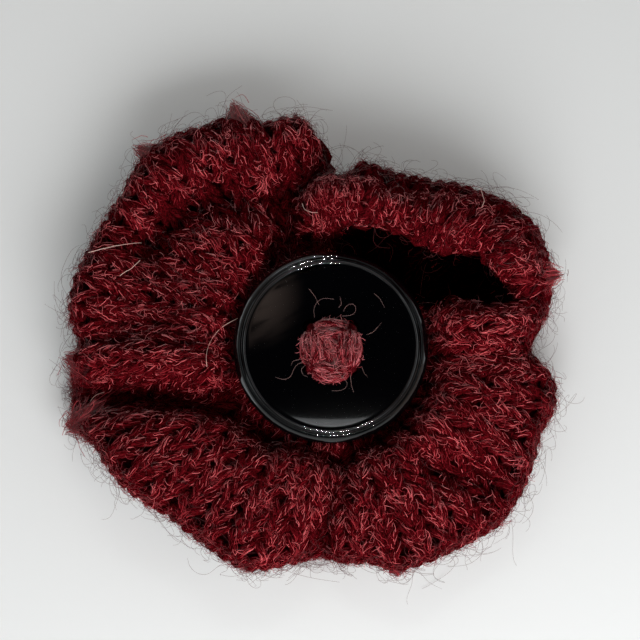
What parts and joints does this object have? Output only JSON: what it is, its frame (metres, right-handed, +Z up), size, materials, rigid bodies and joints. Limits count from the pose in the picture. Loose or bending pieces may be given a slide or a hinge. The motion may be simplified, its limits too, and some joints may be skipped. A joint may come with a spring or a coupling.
{
  "type": "knitted poppy flower",
  "caption": "Ruffled flower of ribbed red wool knitting, drawn up at the middle, with a dished black button sewn on over the centre; it lies on its flat gathered back.",
  "frame": {"origin": "on the surface the flower lies on, under the middle of the ruffled outline", "axes": "+Z up out of the flower's face, +X along its longest width, +Y across it towards the far petals"},
  "size_m": [0.0848, 0.081, 0.0191],
  "materials": {
    "red_wool": "fuzzy knitted wool, matte",
    "black_plastic": "polished moulded plastic",
    "sewing_wool": "fuzzy spun wool strand, matte"
  },
  "bodies": {
    "root": {"knitted_flower": "red_wool", "button": "black_plastic", "sewing_wool": "sewing_wool"}
  },
  "joints": []
}
